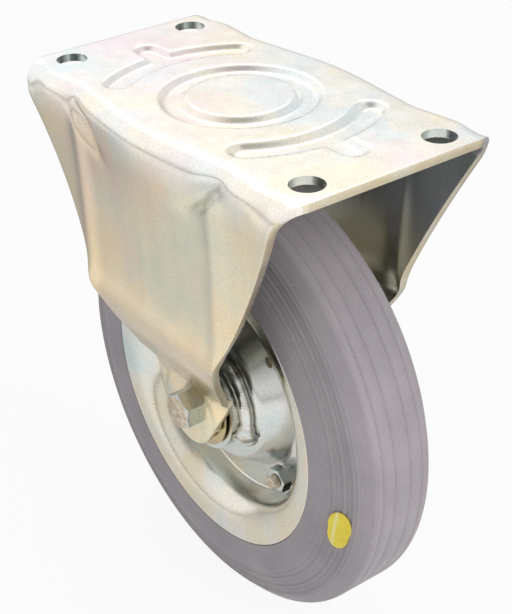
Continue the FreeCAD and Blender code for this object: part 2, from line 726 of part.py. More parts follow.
def rim_half(side, word):
    """A pressed disc: a collar at the hub, a cone in to the bolted web, a steep wall and a rolled
    flange that holds the tyre."""
    wall = "rim_thickness"
    face = "rim_thickness + fit"
    collar = "hub_half_length - hub_overhang"
    outline = [
        ("hub_radius + fit", collar + " - " + wall),
        ("rim_collar_radius - 0.5*rim_thickness", collar + " - " + wall),
        ("rim_web_inner - 0.5*rim_thickness", "fit"),
        ("rim_web_outer + " + wall, "fit"),
        ("rim_well_radius + " + wall, "rim_half_width - " + wall),
        ("rim_radius", "rim_half_width - " + wall),
        ("rim_radius", "rim_half_width"),
        ("rim_well_radius", "rim_half_width"),
        ("rim_web_outer", face),
        ("rim_web_inner", face),
        ("rim_collar_radius", collar),
        ("hub_radius + fit", collar),
    ]
    rounds = [
        ("rim_collar_radius - 0.5*rim_thickness", collar + " - rim_thickness", "rim_bend"),
        ("rim_collar_radius", collar, "rim_bend + rim_thickness"),
        ("rim_web_inner - 0.5*rim_thickness", "fit", "rim_crease + rim_thickness"),
        ("rim_web_inner", "rim_thickness + fit", "rim_crease"),
        ("rim_web_outer + rim_thickness", "fit", "rim_corner + rim_thickness"),
        ("rim_web_outer", "rim_thickness + fit", "rim_corner"),
        ("rim_well_radius + rim_thickness", "rim_half_width - rim_thickness", "rim_roll - rim_thickness"),
        ("rim_well_radius", "rim_half_width", "rim_roll"),
    ]
    return turned("rim_blank_" + word, outline, side, rounds=rounds)


def bolt_places():
    count = int(size("rim_bolt_count"))
    for number in range(count):
        angle = math.radians(size("rim_bolt_angle") + 360.0 * number / count)
        yield number, angle


def rim():
    """The two rim halves with their bolt holes, and the bolts, washers and nuts that join them."""
    reach = "rim_thickness + fit"
    groups = {"rim_bolts": [], "rim_nuts": [], "rim_washers": []}
    holes = []
    for number, angle in bolt_places():
        place = ("Dimensions.rim_bolt_circle*%.12g" % math.cos(angle),
                 "Dimensions.rim_bolt_circle*%.12g" % math.sin(angle))

        def cylinder(name, radius, low, height):
            return primitive("Cylinder", "%s_%d" % (name, number), {"Radius": radius, "Height": height},
                             place + (bound(low),))

        def prism(name, low, height):
            return hexagon("%s_%d" % (name, number), "rim_flats", height, low, place, math.degrees(angle))

        holes.append(cylinder("rim_hole", "rim_bolt_diameter/2 + 2*fit", "-2*rim_half_width", "4*rim_half_width"))
        head = prism("rim_head", "-1*rim_thickness - 2*fit - rim_head_height", "rim_head_height")
        span = "2*rim_thickness + 3*fit + rim_washer_thickness + rim_nut_height + rim_thread_end"
        shank = cylinder("rim_shank", "rim_bolt_diameter/2", "-1*rim_thickness - 2*fit", span)
        groups["rim_bolts"].append(combined("Part::MultiFuse", "rim_bolt_%d" % number, [head, shank]))
        bore = cylinder("nut_bore", "rim_bolt_diameter/2 + fit", reach, "2*rim_half_width")
        washer = cylinder("washer_disc", "rim_washer_radius", reach + " + fit", "rim_washer_thickness")
        groups["rim_washers"].append(combined("Part::Cut", "rim_washer_%d" % number, (washer, bore)))
        nut = prism("nut_prism", reach + " + 2*fit + rim_washer_thickness", "rim_nut_height")
        groups["rim_nuts"].append(combined("Part::Cut", "rim_nut_%d" % number, (nut, bore)))
    for label, parts in groups.items():
        on_axle(labelled(combined("Part::Compound", label, parts), label), -1)
    drills = on_axle(combined("Part::Compound", "rim_drills", holes), -1)
    for side, word in ((-1, "near"), (1, "far")):
        half = rim_half(side, word)
        labelled(combined("Part::Cut", "rim_" + word, (half, drills)), "rim_" + word)


def tyre():
    """A solid rubber tyre: its foot fills the trough of the rim, its walls swell past the flanges,
    and its tread has two narrow grooves."""
    foot = "rim_web_outer + rim_thickness + 2*fit"
    flank = "rim_well_radius + rim_thickness + 2*fit"
    seat = "rim_half_width - rim_thickness - 2*fit"
    lip = "rim_radius + 2*fit"
    low = "tyre_radius - groove_depth"
    belly = "0.667*rim_radius + 0.333*tyre_radius"
    shoulder = "0.18*rim_radius + 0.82*tyre_radius"

    def half(sign):
        def at(text):
            return text if sign > 0 else "-1*" + text.replace(" - ", " ~ ").replace(" + ", " - ").replace(" ~ ", " + ")
        points = [
            (flank, at(seat)), (lip, at(seat)), (lip, at("rim_half_width - 2*fit")),
            (belly, at("tyre_half_width")), (shoulder, at("shoulder_half_width")),
            ("tyre_radius", at("tread_half_width")),
            ("tyre_radius", at("groove_place + groove_width")), (low, at("groove_place + groove_width")),
            (low, at("groove_place")), ("tyre_radius", at("groove_place"))]
        return points

    outline = [(foot, "0")] + half(1) + list(reversed(half(-1)))
    rounds = []
    for sign in ("", "-1*"):
        rounds.append(("tyre_radius", sign + "tread_half_width", "tread_edge_radius"))
        rounds.append((shoulder, sign + "shoulder_half_width", "2*tread_edge_radius"))
        rounds.append((belly, sign + "tyre_half_width", "0.5*tyre_radius - 0.5*rim_radius"))
    flip = "-1*rim_half_width + rim_thickness + 2*fit"
    rounds.append((flank, seat, "rim_roll - rim_thickness"))
    rounds.append((flank, flip, "rim_roll - rim_thickness"))
    turned("tyre", outline, rounds=rounds)


NODES = ["fork_bracket", "axle_bolt", "axle_washer", "axle_nut", "nut_lock_ring", "axle_sleeve",
         "distance_tube", "hub_tube", "hub_weld", "rim_near", "rim_far", "rim_bolts", "rim_washers",
         "rim_nuts", "tyre"]
for word in ("near", "far"):
    NODES += [name + word for name in ("inner_ring_", "outer_ring_", "balls_", "ball_cage_", "seals_",
                                       "spacer_ring_", "dust_cover_", "end_collar_")]

fork_bracket()
axle()
bearing(-1, "near")
bearing(1, "far")
hub()
rim()
tyre()
doc.recompute()


def check_and_write():
    for feature in doc.Objects:
        if "Invalid" in feature.State or "Error" in feature.State:
            raise RuntimeError("%s failed: %s" % (feature.Name, feature.State))
    os.makedirs("parts", exist_ok=True)
    for label in NODES:
        shape = [feature for feature in doc.Objects if feature.Label == label][0].Shape
        if shape.isNull() or not shape.isValid() or not shape.Solids:
            raise RuntimeError("%s has no valid solid" % label)
        shape.exportStep("parts/%s.step" % label)
        print(label, len(shape.Solids), round(shape.Volume, 1))


check_and_write()
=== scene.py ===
import math

import bmesh
import bpy
from mathutils import Matrix, Vector


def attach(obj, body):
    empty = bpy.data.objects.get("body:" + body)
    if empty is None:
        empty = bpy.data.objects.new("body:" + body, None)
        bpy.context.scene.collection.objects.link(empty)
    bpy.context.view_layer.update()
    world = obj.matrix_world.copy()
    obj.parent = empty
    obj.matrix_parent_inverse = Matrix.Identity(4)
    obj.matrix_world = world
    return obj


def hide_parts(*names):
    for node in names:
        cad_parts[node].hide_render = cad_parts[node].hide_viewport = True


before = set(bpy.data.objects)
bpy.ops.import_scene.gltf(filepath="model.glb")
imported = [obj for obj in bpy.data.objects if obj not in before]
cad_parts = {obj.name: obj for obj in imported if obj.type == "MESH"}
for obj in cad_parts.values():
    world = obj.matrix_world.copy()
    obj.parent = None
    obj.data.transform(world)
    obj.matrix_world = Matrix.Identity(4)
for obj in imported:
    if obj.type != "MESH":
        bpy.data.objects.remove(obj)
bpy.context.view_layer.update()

# Sizes are in millimetres and become metres where a mesh is made
MM = 0.001
AXLE_DROP = 166.0
AXLE = Vector((0.0, 0.0, -AXLE_DROP * MM))
AXLE_CENTRE = (0.0, -AXLE_DROP)

# Bracket sheet: its outline, its bend and its lugs
SHEET = 4.0
EDGE_ROUNDING = 0.7
HALF_LENGTH = 109.0
BEND = 10.0
CORNER_BEND = 6.0
CORNER_BEND_START = 86.0
CORNER_BEND_RISE = 20.0
LEG_SPREAD = 57.5
LUG_SPREAD = 38.5
LUG_RADIUS = 21.0
SEAT_RADIUS = 21.5
SEAT_STEP = 0.8
SEAT_EDGE = 1.2
SHOULDER_DROP = 108.0
LUG_TOP_DROP = 156.0
CORNER_DROP = 16.0
CORNER_INSET = 10.1
CORNER_CURVE = 0.62
TIP_PLACE = 35.5
TIP_DROP = 146.0
HOLE_RADIUS = 8.0
HOLE_PLACES = [(x, y) for x in (-95.0, 95.0) for y in (-37.0, 37.0)]
AXLE_HOLE = 6.2

# Folds of a leg; each RISE or FADE is the drop where it starts and the drop that it takes
CROWN_LIFT = 7.3
CROWN_WIDTH = 48.0
CROWN_HEIGHT = 36.0
VALLEY_PLACE = 62.0
VALLEY_DEPTH = 4.3
VALLEY_WIDTH = 7.5
VALLEY_START = 0.15
VALLEY_RISE = (2.0, 12.0)
VALLEY_FADE = (15.0, 18.0)
VALLEY_LEAN = 1.1
VALLEY_LEAN_DROP = 4.0
RIDGE_PLACE = 56.5
RIDGE_LIFT = 1.4
RIDGE_WIDTH = 6.0
RIDGE_RISE = (4.0, 16.0)
WING_PLACE = RIDGE_PLACE + 1.5
WING_CORNER = 4.0
WING_TURN = 0.135
WING_TURN_LOSS = 0.0038
WING_TURN_END = -0.2
HEM_LIFT = 1.9
HEM_DROP = SHOULDER_DROP - 3.5
HEM_WIDTH = 7.0
LEVEL_SHARE = 0.6
FACET_PLACE = 16.0
FACET_CORNER = 2.0
FACET_SLOPE = 0.22
FACET_RISE = (TIP_DROP - 4.0, 7.0)

# Ring, arcs and nubs pressed into the plate
PRESS_DEPTH = 2.8
PRESS_SLOPE = 4.4
PRESS_REACH = 46.0
PRESS_MARGIN = 0.02
RING_INNER = 25.5
RING_OUTER = 40.0
ARC_RADIUS = 63.0
ARC_HALF = 8.5
ARC_LIMIT = math.radians(35.0)
NUB_END = 80.5
NUB_HALF = 8.0
MEETING = 3.0

# Grid of the sheet; the leg's steps are (drop up to which it holds, step)
COLUMNS = 128
FLAT_ROWS = 44
BEND_ROWS = 9
LEG_STEPS = ((35.0, 1.5), (95.0, 4.0), (math.inf, 2.4))
LAST_STEP = 0.05
LEAST_STEP = 0.1
STEP_SHARE = 0.12

# Rim halves and tyre
RIM_WALL = 2.5
RIM_GAP = 0.05
COLLAR_BORE = 27.55
COLLAR_END = 20.0
FLANGE_EDGE = 86.0
FLANGE_FACE = 27.0
BOLT_CIRCLE = 55.8
BOLT_HOLE = 4.1
BELLY = (99.0, 28.5)
SHOULDER = (118.0, 22.5)
TREAD_EDGE = (125.0, 16.5)
WALL_FOOT = (86.1, 26.9)
WALL_LINES = ((102.6, 0.3), (105.4, 0.6), (108.0, 0.3), (111.0, 0.6), (113.6, 0.35), (116.2, 0.6))
TREAD_LINES = (12.2, 4.8)
LINE_HALF = 0.7
LINE_DEPTH = 0.5

# Label: ovals are (shift, half width, half height); the stripe's place and edges are in metres
LABEL_RADIUS = 110.4
LABEL_ANGLE = math.radians(-9.5)
LABEL_OVALS = ((-2.6, 9.6, 5.6), (2.8, 9.4, 6.2))
LABEL_LIFT = 0.95
LABEL_FILM = 0.5
LABEL_STRIPE = 0.1354
STRIPE_EDGE = (0.0011, 0.0006)

# Fasteners: width over the flats, radius and pitch of the thread
RIM_FLATS, RIM_BOLT, RIM_PITCH = 13.0, 4.0, 1.25
AXLE_FLATS, AXLE_BOLT, AXLE_PITCH = 19.0, 6.0, 1.75
TURNED_SHARE = 0.96
TURNED_SLOPE = 0.62


# Modelling helpers


def pick_none():
    bpy.ops.object.select_all(action="DESELECT")


def pick_only(obj):
    pick_none()
    obj.select_set(True)
    bpy.context.view_layer.objects.active = obj


def settled(obj):
    """Puts a finished object's place into its mesh, so that the object sits at the origin."""
    pick_only(obj)
    bpy.ops.object.transform_apply(location=True, rotation=True, scale=True)
    return obj


def second_finish(obj, material, chosen):
    """Gives the faces that are chosen by their middle and their normal another material."""
    obj.data.materials.append(material)
    for face in obj.data.polygons:
        if chosen(face.center, face.normal):
            face.material_index = len(obj.data.materials) - 1


def finished(obj, name, material, body, replaced, smooth):
    """Names a piece, shades it smooth up to an angle, and gives it its finish and its body."""
    settled(obj)
    obj.name = name
    obj.data.name = name
    bpy.ops.object.shade_smooth_by_angle(angle=math.radians(smooth))
    obj.data.materials.clear()
    obj.data.materials.append(material)
    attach(obj, body)
    if replaced:
        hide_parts(*replaced)
    return obj


def apply_modifiers(obj):
    pick_only(obj)
    for modifier in list(obj.modifiers):
        bpy.ops.object.modifier_apply(modifier=modifier.name)


def merged_outward(threshold):
    """In edit mode, merges corners that meet and turns all faces outward; then leaves it."""
    bpy.ops.mesh.select_all(action="SELECT")
    bpy.ops.mesh.remove_doubles(threshold=threshold * MM)
    bpy.ops.mesh.normals_make_consistent(inside=False)
    bpy.ops.object.mode_set(mode="OBJECT")


def rounded(corners, pieces):
    """Points of an outline whose corners are (radius, place, rounding); a rounding is an arc."""
    longest = 0.75
    points = []
    count = len(corners)
    for index, (radius, place, rounding) in enumerate(corners):
        here = Vector((radius, place))
        if rounding <= 0.0:
            points.append(here)
            continue
        before = Vector(corners[index - 1][:2]) - here
        after = Vector(corners[(index + 1) % count][:2]) - here
        turn = before.angle(after)
        reach = min(rounding / math.tan(turn / 2.0), longest * before.length,
                    longest * after.length)
        radius_used = reach * math.tan(turn / 2.0)
        middle = (before.normalized() + after.normalized()).normalized()
        centre = here + middle * (radius_used / math.sin(turn / 2.0))
        start = here + before.normalized() * reach - centre
        end = here + after.normalized() * reach - centre
        sweep = start.angle_signed(end)
        for step in range(pieces + 1):
            angle = -sweep * step / pieces
            arm = Vector((start.x * math.cos(angle) - start.y * math.sin(angle),
                          start.x * math.sin(angle) + start.y * math.cos(angle)))
            points.append(centre + arm)
    return points


def turned(points, steps):
    """Spins a closed outline of (radius, place along the axle) points about the axle."""
    pick_none()
    bpy.ops.mesh.primitive_plane_add(size=MM)
    obj = bpy.context.object
    bpy.ops.object.mode_set(mode="EDIT")
    bpy.ops.mesh.select_all(action="SELECT")
    bpy.ops.mesh.merge(type="CENTER")
    places = [Vector((p[0] * MM, p[1] * MM, 0.0)) + AXLE for p in points]
    bpy.ops.transform.translate(value=places[0])
    for here, there in zip(places[:-1], places[1:]):
        bpy.ops.mesh.extrude_region_move(TRANSFORM_OT_translate={"value": there - here})
    mesh = bmesh.from_edit_mesh(obj.data)
    mesh.verts.ensure_lookup_table()
    for vert in mesh.verts:
        vert.select = vert.index in (0, len(mesh.verts) - 1)
    mesh.select_flush_mode()
    bpy.ops.mesh.edge_face_add()
    bpy.ops.mesh.select_all(action="SELECT")
    bpy.ops.mesh.spin(steps=steps, angle=2.0 * math.pi, center=AXLE, axis=(0.0, 1.0, 0.0))
    merged_outward(0.002)
    return obj


def wrapped(columns, rows, place):
    """A grid whose every corner goes to place(share across, share along), merged where it meets."""
    pick_none()
    bpy.ops.mesh.primitive_grid_add(x_subdivisions=columns, y_subdivisions=rows, size=2.0)
    obj = bpy.context.object
    for vertex in obj.data.vertices:
        across, along = (vertex.co.x + 1.0) / 2.0, (vertex.co.y + 1.0) / 2.0
        vertex.co = Vector(place(across, along)) * MM
    bpy.ops.object.mode_set(mode="EDIT")
    merged_outward(0.01)
    return obj


def hexagon_reach(angle, flats):
    """Radius of a hexagon at an angle; flats lie across from corners every 60 degrees."""
    past_corner = angle % (math.pi / 3.0) - math.pi / 6.0
    return flats / 2.0 / math.cos(past_corner)


def lathed(profile, centre, side, sides, rule=None):
    """A small piece turned about its own line along Y; rule may change the radius on the way."""
    def place(across, along):
        angle = 2.0 * math.pi * across
        radius, height = profile[round(along * (len(profile) - 1))]
        if rule:
            radius = rule(radius, height, angle)
        return (centre[0] + radius * math.cos(angle), side * height,
                centre[1] + radius * math.sin(angle))
    return wrapped(sides, len(profile) - 1, place)


def hexagonal(flats, low, high, bore, centre, side, ends, turn):
    """A bolt head or nut: six flats, with the corners turned down at the ends that are named."""
    corner = flats / math.sqrt(3.0)
    depth = TURNED_SLOPE * (corner - flats / 2.0)
    low_rows = [(corner, low)]
    high_rows = [(corner, high)]
    steps = (0.0, 0.25, 0.5, 0.75, 1.0)
    inner = TURNED_SHARE * flats / 2.0
    if 1 in ends:
        high_rows = [(corner + (inner - corner) * step, high - depth * (1.0 - step))
                     for step in steps]
    if -1 in ends:
        low_rows = [(inner + (corner - inner) * step, low + depth * step) for step in steps]
    profile = [(bore, low)] + low_rows + high_rows + [(bore, high)]
    if bore:
        profile.append((bore, low))

    def rule(radius, height, angle):
        return radius if radius <= bore else min(radius, hexagon_reach(angle - turn, flats))
    return lathed(profile, centre, side, 96, rule)


def threaded(radius, pitch, low, high, centre, side):
    """A stud's end with a real helix, chamfered where it ends."""
    rows_per_turn, groove, chamfer = 6.0, 0.55, 0.8
    count = int((high - low) / pitch * rows_per_turn)
    rows = [low + (high - low) * row / count for row in range(count + 1)]
    profile = [(0.0, low)] + [(radius, height) for height in rows] + [(0.0, high)]

    def rule(reach, height, angle):
        if reach == 0.0:
            return 0.0
        turn = (height / pitch + angle / (2.0 * math.pi)) % 1.0
        cut_in = groove * pitch * abs(2.0 * turn - 1.0)
        return min(radius - cut_in, radius - chamfer * pitch + (high - height))
    return lathed(profile, centre, side, 48, rule)


def cylinder(radius, half, across, along="Z", sides=64):
    """A cutter through the middle plane: a cylinder that reaches half its length each way."""
    pick_none()
    if along == "Z":
        place, turn = (across[0], across[1], 0.0), (0.0, 0.0, 0.0)
    else:
        place, turn = (across[0], 0.0, across[1]), (math.pi / 2.0, 0.0, 0.0)
    bpy.ops.mesh.primitive_cylinder_add(
        vertices=sides, radius=radius * MM, depth=2.0 * half * MM,
        location=[value * MM for value in place], rotation=turn)
    return settled(bpy.context.object)


def joined(objects):
    pick_none()
    for obj in objects:
        obj.select_set(True)
    bpy.context.view_layer.objects.active = objects[0]
    bpy.ops.object.join()
    return bpy.context.object


def cut(obj, cutter):
    modifier = obj.modifiers.new("cut", "BOOLEAN")
    modifier.operation = "DIFFERENCE"
    modifier.solver = "EXACT"
    modifier.object = cutter
    apply_modifiers(obj)
    bpy.data.objects.remove(cutter)


# Material helpers


def new_material(name):
    material = bpy.data.materials.new(name)
    material.use_nodes = True
    tree = material.node_tree
    return material, tree, tree.nodes["Principled BSDF"]


def feed(tree, socket, value):
    """Links a value that comes from a node to a socket, or else sets the socket to it."""
    if hasattr(value, "links"):
        tree.links.new(value, socket)
    else:
        socket.default_value = value


def node(tree, kind, **inputs):
    made = tree.nodes.new(kind)
    for name, value in inputs.items():
        feed(tree, made.inputs[name], value)
    return made


def object_coords(tree):
    return tree.nodes.new("ShaderNodeTexCoord").outputs["Object"]


def mix_colour(tree, factor, first, second, blend="MIX"):
    made = tree.nodes.new("ShaderNodeMix")
    made.data_type = "RGBA"
    made.blend_type = blend
    for index, value in ((0, factor), (6, first), (7, second)):
        feed(tree, made.inputs[index], value)
    return made.outputs[2]


def mix_shader(tree, factor, first, second):
    made = tree.nodes.new("ShaderNodeMixShader")
    for index, value in enumerate((factor, first.outputs[0], second.outputs[0])):
        tree.links.new(value, made.inputs[index])
    return made


def maths(tree, operation, first, second=0.0, clamp=False):
    made = tree.nodes.new("ShaderNodeMath")
    made.operation = operation
    made.use_clamp = clamp
    feed(tree, made.inputs[0], first)
    feed(tree, made.inputs[1], second)
    return made.outputs[0]


def times(tree, first, second):
    return maths(tree, "MULTIPLY", first, second)


def plus(tree, first, second, clamp=False):
    return maths(tree, "ADD", first, second, clamp)


def minus(tree, first, second):
    return maths(tree, "SUBTRACT", first, second)


def vector_maths(tree, operation, first, second=None):
    """A number that is worked out from one vector or two."""
    made = tree.nodes.new("ShaderNodeVectorMath")
    made.operation = operation
    tree.links.new(first, made.inputs[0])
    if second:
        made.inputs[1].default_value = second
    return made.outputs["Value"]


def height_of(tree, vector):
    split = tree.nodes.new("ShaderNodeSeparateXYZ")
    tree.links.new(vector, split.inputs[0])
    return split.outputs["Z"]


def ramp(tree, value, low, high, first=0.0, last=1.0):
    """Value spread from low..high to first..last, and held there beyond it."""
    made = tree.nodes.new("ShaderNodeMapRange")
    tree.links.new(value, made.inputs["Value"])
    for name, number in (("From Min", low), ("From Max", high), ("To Min", first),
                         ("To Max", last)):
        made.inputs[name].default_value = number
    return made.outputs["Result"]


def noise(tree, scale, detail, vector=None):
    return node(tree, "ShaderNodeTexNoise", Scale=scale, Detail=detail, Roughness=0.55,
                Vector=vector or object_coords(tree)).outputs["Fac"]


def bumped(tree, shader, height, strength):
    """Lets a height stand out of a surface by up to a fifth of a millimetre."""
    lift = node(tree, "ShaderNodeBump", Strength=strength, Distance=0.2 * MM, Height=height)
    tree.links.new(lift.outputs["Normal"], shader.inputs["Normal"])


def ray_kinds(tree):
    """Whether a ray comes from the camera, and whether it was mirrored or let through."""
    path = tree.nodes.new("ShaderNodeLightPath").outputs
    mirrored = maths(tree, "MAXIMUM", path["Is Glossy Ray"], path["Is Transmission Ray"])
    return path["Is Camera Ray"], mirrored


def passivation_group():
    """Zinc plating: straw, cool and pink clouds over the metal, streaks down the sheet, specks."""
    group = bpy.data.node_groups.new("passivation", "ShaderNodeTree")
    colours = ("Base", "Straw", "Cool", "Pink")
    numbers = ("Cloud Size", "Strength", "Streak", "Grain")
    for names, kind in ((colours, "NodeSocketColor"), (numbers, "NodeSocketFloat")):
        for name in names:
            group.interface.new_socket(name, in_out="INPUT", socket_type=kind)
    for name, kind in (("Color", "NodeSocketColor"), ("Roughness Shift", "NodeSocketFloat"),
                       ("Height", "NodeSocketFloat")):
        group.interface.new_socket(name, in_out="OUTPUT", socket_type=kind)
    given = group.nodes.new("NodeGroupInput").outputs
    sink = group.nodes.new("NodeGroupOutput")
    coords = object_coords(group)

    def field(scale, detail, shift, squeeze=(1.0, 1.0, 1.0)):
        place = node(group, "ShaderNodeMapping", Vector=coords, Scale=squeeze,
                     Location=(shift, 0.7 * shift, -0.4 * shift))
        return node(group, "ShaderNodeTexNoise", Scale=scale, Detail=detail, Roughness=0.6,
                    Vector=place.outputs["Vector"]).outputs["Fac"]

    def about_nought(value, share):
        return times(group, minus(group, value, 0.5), share)

    cloud = field(given["Cloud Size"], 4.0, 0.0)
    other = field(given["Cloud Size"], 4.0, 3.1)
    streaks = field(95.0, 3.0, 1.3, (1.0, 1.0, 0.07))
    fine = ramp(group, field(given["Grain"], 2.0, 0.0), 0.3, 0.7)
    colour = given["Base"]
    for value, low, high, name in ((cloud, 0.44, 0.62, "Straw"), (cloud, 0.50, 0.34, "Cool"),
                                   (other, 0.52, 0.70, "Pink")):
        amount = times(group, ramp(group, value, low, high), given["Strength"])
        colour = mix_colour(group, amount, colour, given[name])
    specks = plus(group, times(group, fine, 0.14), 0.92)
    shade = plus(group, about_nought(streaks, given["Streak"]), specks)
    grey = group.nodes.new("ShaderNodeCombineColor")
    for channel in range(3):
        group.links.new(shade, grey.inputs[channel])
    colour = mix_colour(group, 1.0, colour, grey.outputs[0], "MULTIPLY")
    shift = plus(group, about_nought(other, 0.22), about_nought(streaks, 0.15))
    for name, value in (("Color", colour), ("Roughness Shift", shift), ("Height", fine)):
        group.links.new(value, sink.inputs[name])
    return group


PASSIVATION = passivation_group()


def zinc(name, base, straw, cool, roughness, pink=None, lower_tint_and_light=None, strength=0.6, cloud=14.0,
         streak=0.0, grain=900.0, bump=0.05, dents=0.0):
    """A plated metal. Of the two tones given for the lower sheet, one makes all that lies below the
    bend darker and more straw-coloured, partly a straw tint and partly painted shade, and one makes
    the legs' foot lighter in patches, which is painted light."""
    material, tree, shader = new_material(name)
    shader.inputs["Metallic"].default_value = 1.0
    plating = tree.nodes.new("ShaderNodeGroup")
    plating.node_tree = PASSIVATION
    for key, value in (("Base", base), ("Straw", straw), ("Cool", cool), ("Pink", pink or base)):
        plating.inputs[key].default_value = (*value, 1.0)
    for key, value in (("Cloud Size", cloud), ("Strength", strength), ("Streak", streak),
                       ("Grain", grain)):
        plating.inputs[key].default_value = value
    colour = plating.outputs["Color"]
    if lower_tint_and_light:
        level = height_of(tree, object_coords(tree))
        # Painted light and shade: below the bend the sheet is darker and more straw-coloured,
        # partly a straw tint and partly painted shade; at the legs' foot it is lighter in noise
        # patches, painted light.
        patches = ramp(tree, noise(tree, 22.0, 4.0), 0.30, 0.62)
        below_bend_tint_and_shade = ramp(tree, level, -0.004, -0.022)
        foot_painted_light = times(tree, ramp(tree, level, -0.075, -0.150), patches)
        for share, tint_and_light in zip((below_bend_tint_and_shade, foot_painted_light), lower_tint_and_light):
            tinted_and_lit = mix_colour(tree, 1.0, colour, (*tint_and_light, 1.0), "MULTIPLY")
            colour = mix_colour(tree, share, colour, tinted_and_lit)
    tree.links.new(colour, shader.inputs["Base Color"])
    rough = plus(tree, plating.outputs["Roughness Shift"], roughness, clamp=True)
    tree.links.new(rough, shader.inputs["Roughness"])
    height = plating.outputs["Height"]
    if dents:
        height = plus(tree, height, times(tree, noise(tree, 38.0, 2.0), dents))
    bumped(tree, shader, height, bump)
    return material


def rubber(name, marks):
    """Grey non-marking rubber: a violet cast, fine specks, faint turning marks and a soft sheen."""
    dark, light, pale = (0.272, 0.240, 0.266), (0.368, 0.326, 0.352), (0.50, 0.455, 0.485, 1.0)
    material, tree, shader = new_material(name)
    patches = ramp(tree, noise(tree, 26.0, 4.0), 0.3, 0.7)
    colour = mix_colour(tree, patches, (*dark, 1.0), (*light, 1.0))
    specks = ramp(tree, noise(tree, 1400.0, 2.0), 0.35, 0.65)
    colour = mix_colour(tree, times(tree, specks, 0.30), colour, pale)
    height = specks
    if marks:
        flat = node(tree, "ShaderNodeMapping", Vector=object_coords(tree),
                    Location=(0.0, 0.0, AXLE_DROP * MM), Scale=(1.0, 0.0, 1.0))
        reach = vector_maths(tree, "LENGTH", flat.outputs["Vector"])
        line = node(tree, "ShaderNodeCombineXYZ", X=reach)
        rings = ramp(tree, noise(tree, 900.0, 1.0, line.outputs[0]), 0.35, 0.65)
        colour = mix_colour(tree, times(tree, rings, 0.22), colour, pale)
        height = plus(tree, specks, rings)
    tree.links.new(colour, shader.inputs["Base Color"])
    shader.inputs["Roughness"].default_value = 0.50
    shader.inputs["Specular IOR Level"].default_value = 0.40
    bumped(tree, shader, height, 0.12)
    return material


def label_film(name):
    """The bare yellow label: glossy film, one paler stripe and a little fading."""
    material, tree, shader = new_material(name)
    fading = ramp(tree, noise(tree, 120.0, 3.0), 0.35, 0.7)
    colour = mix_colour(tree, fading, (0.86, 0.66, 0.02, 1.0), (0.93, 0.76, 0.05, 1.0))
    place = node(tree, "ShaderNodeMapping", Vector=object_coords(tree),
                 Rotation=(0.0, LABEL_ANGLE, 0.0))
    split = node(tree, "ShaderNodeSeparateXYZ", Vector=place.outputs["Vector"])
    edges = maths(tree, "ABSOLUTE", minus(tree, split.outputs["X"], LABEL_STRIPE))
    stripe = times(tree, ramp(tree, edges, *STRIPE_EDGE), 0.6)
    colour = mix_colour(tree, stripe, colour, (0.95, 0.90, 0.45, 1.0))
    tree.links.new(colour, shader.inputs["Base Color"])
    tree.links.new(plus(tree, times(tree, fading, 0.12), 0.25), shader.inputs["Roughness"])
    return material


# Its lower tones: darker and straw below the bend, partly a straw tint and partly painted shade;
# lighter patches at the legs' foot, painted light.
ZINC_SHEET = zinc(
    "zinc_sheet", base=(0.77, 0.77, 0.74), straw=(0.82, 0.74, 0.58), cool=(0.62, 0.71, 0.73),
    pink=(0.78, 0.67, 0.70), lower_tint_and_light=((0.86, 0.765, 0.605), (1.26, 1.25, 1.14)),
    roughness=0.25, strength=0.8, streak=0.20, bump=0.08, dents=5.0)
ZINC_EDGE = zinc(
    "zinc_edge", base=(0.70, 0.63, 0.47), straw=(0.66, 0.55, 0.36), cool=(0.72, 0.70, 0.62),
    roughness=0.38, cloud=60.0)
# Painted shade: a darker, greener copy of the sheet's zinc, for the legs' inner faces and the
# plate's hole walls.
ZINC_INSIDE_PAINTED_SHADE = zinc(
    "zinc_inside_painted_shade", base=(0.58, 0.63, 0.61), straw=(0.58, 0.58, 0.48), cool=(0.50, 0.58, 0.59),
    roughness=0.30, streak=0.2)
ZINC_RIM = zinc(
    "zinc_rim", base=(0.63, 0.62, 0.57), straw=(0.66, 0.57, 0.40), cool=(0.50, 0.57, 0.56),
    pink=(0.72, 0.66, 0.64), roughness=0.20, strength=0.9, cloud=13.0, dents=1.5)
ZINC_BOLT = zinc(
    "zinc_bolt", base=(0.50, 0.55, 0.54), straw=(0.54, 0.50, 0.41), cool=(0.43, 0.51, 0.53),
    pink=(0.58, 0.55, 0.57), roughness=0.22, cloud=110.0, bump=0.12)
HEAD_METAL = zinc(
    "bolt_face", base=(0.60, 0.52, 0.40), straw=(0.46, 0.34, 0.22), cool=(0.66, 0.62, 0.56),
    roughness=0.42, strength=0.9, cloud=330.0, grain=1500.0, bump=0.6, dents=3.0)
WELD_METAL = zinc(
    "weld_metal", base=(0.68, 0.68, 0.65), straw=(0.60, 0.54, 0.44), cool=(0.56, 0.62, 0.62),
    roughness=0.28, cloud=220.0, bump=0.15)
COVER_METAL = zinc(
    "yellow_zinc", base=(0.48, 0.39, 0.22), straw=(0.58, 0.46, 0.23), cool=(0.34, 0.31, 0.24),
    roughness=0.26, cloud=60.0, bump=0.1)
RACE_METAL = zinc(
    "ground_steel", base=(0.62, 0.62, 0.63), straw=(0.62, 0.60, 0.56), cool=(0.56, 0.58, 0.62),
    roughness=0.18, strength=0.3)
RUBBER = rubber("grey_rubber", True)
SEAL_RUBBER = rubber("seal_rubber", False)
LABEL = label_film("label_film")


# Bracket: the same folds as the solid, on a fine grid


def bell(distance, width):
    return math.exp(-(distance / width) ** 2)


def eased(value):
    value = min(max(value, 0.0), 1.0)
    return value * value * (3.0 - 2.0 * value)


def risen(value, start, length):
    """Rises softly from 0 to 1 over a length."""
    return eased((value - start) / length)


def past(distance, softness):
    """Rises from nothing to the distance itself, over a soft corner at nought."""
    return 0.5 * (distance + math.hypot(distance, softness))


